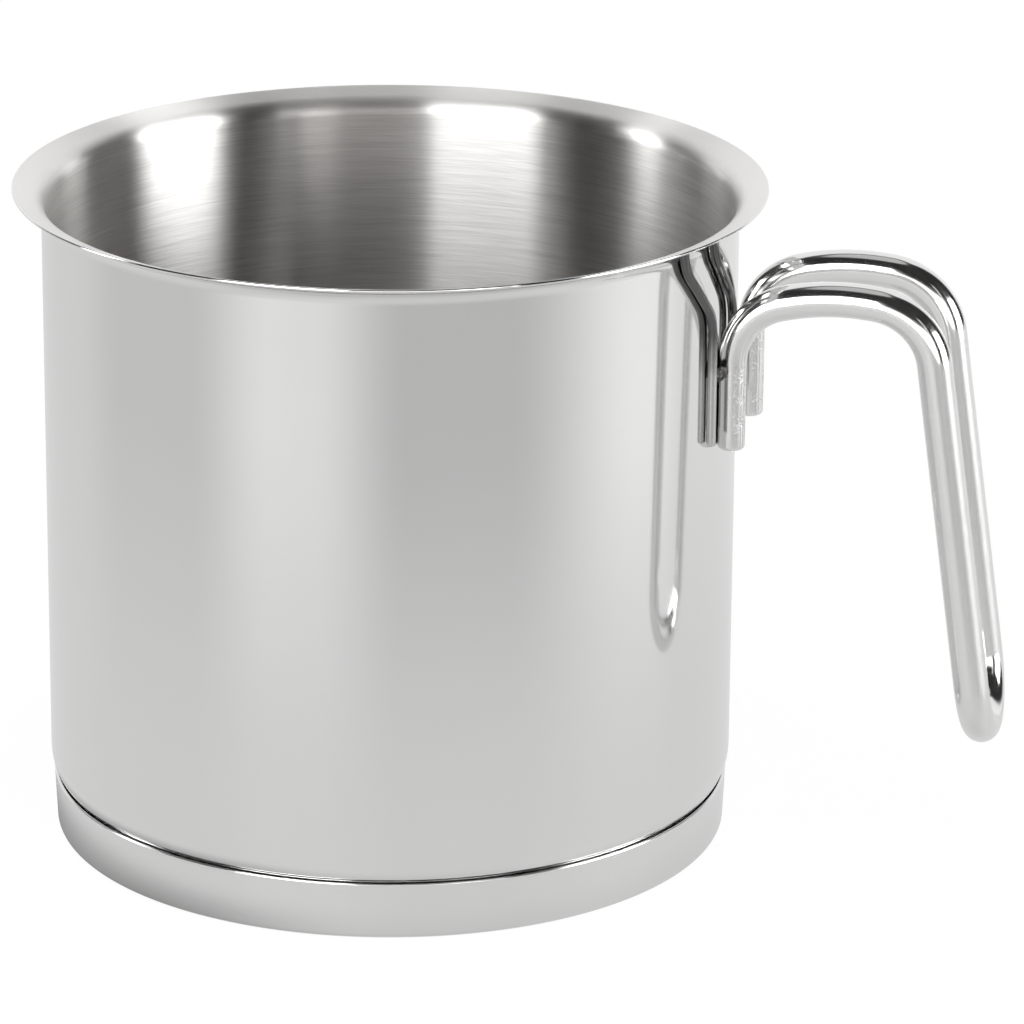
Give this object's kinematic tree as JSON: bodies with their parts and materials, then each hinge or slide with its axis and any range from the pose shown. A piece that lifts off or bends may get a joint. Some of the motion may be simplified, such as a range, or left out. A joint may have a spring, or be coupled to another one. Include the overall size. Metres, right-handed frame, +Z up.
{
  "type": "milk pan",
  "caption": "Tall straight-sided steel milk pan with a flared rim, a thick encapsulated base and a bent-rod hairpin handle braced by two wires.",
  "frame": {"origin": "centre of the flat underside of the base, on the pan's axis", "axes": "+Z up along the pan's axis, +X towards the handle, +Y by the right-hand rule, so that the braced leg of the handle lies on the -Y side"},
  "size_m": [0.2024, 0.1516, 0.1355],
  "materials": {
    "body_steel": "mirror polished outside, turned brushed finish inside",
    "cap_steel": "polished magnetic steel cap",
    "core_aluminium": "plain rolled disc, shows only as the dark line of the seam",
    "rod_steel": "polished round rod",
    "wire_steel": "polished round wire",
    "weld_steel": "bare weld bead, cleaned but not polished"
  },
  "bodies": {
    "root": {"pan_body": "body_steel", "base_core": "core_aluminium", "base_cap": "cap_steel", "handle_rod": "rod_steel", "bracket_front": "wire_steel", "bracket_rear": "wire_steel", "weld_front": "weld_steel", "weld_rear": "weld_steel"}
  },
  "joints": []
}
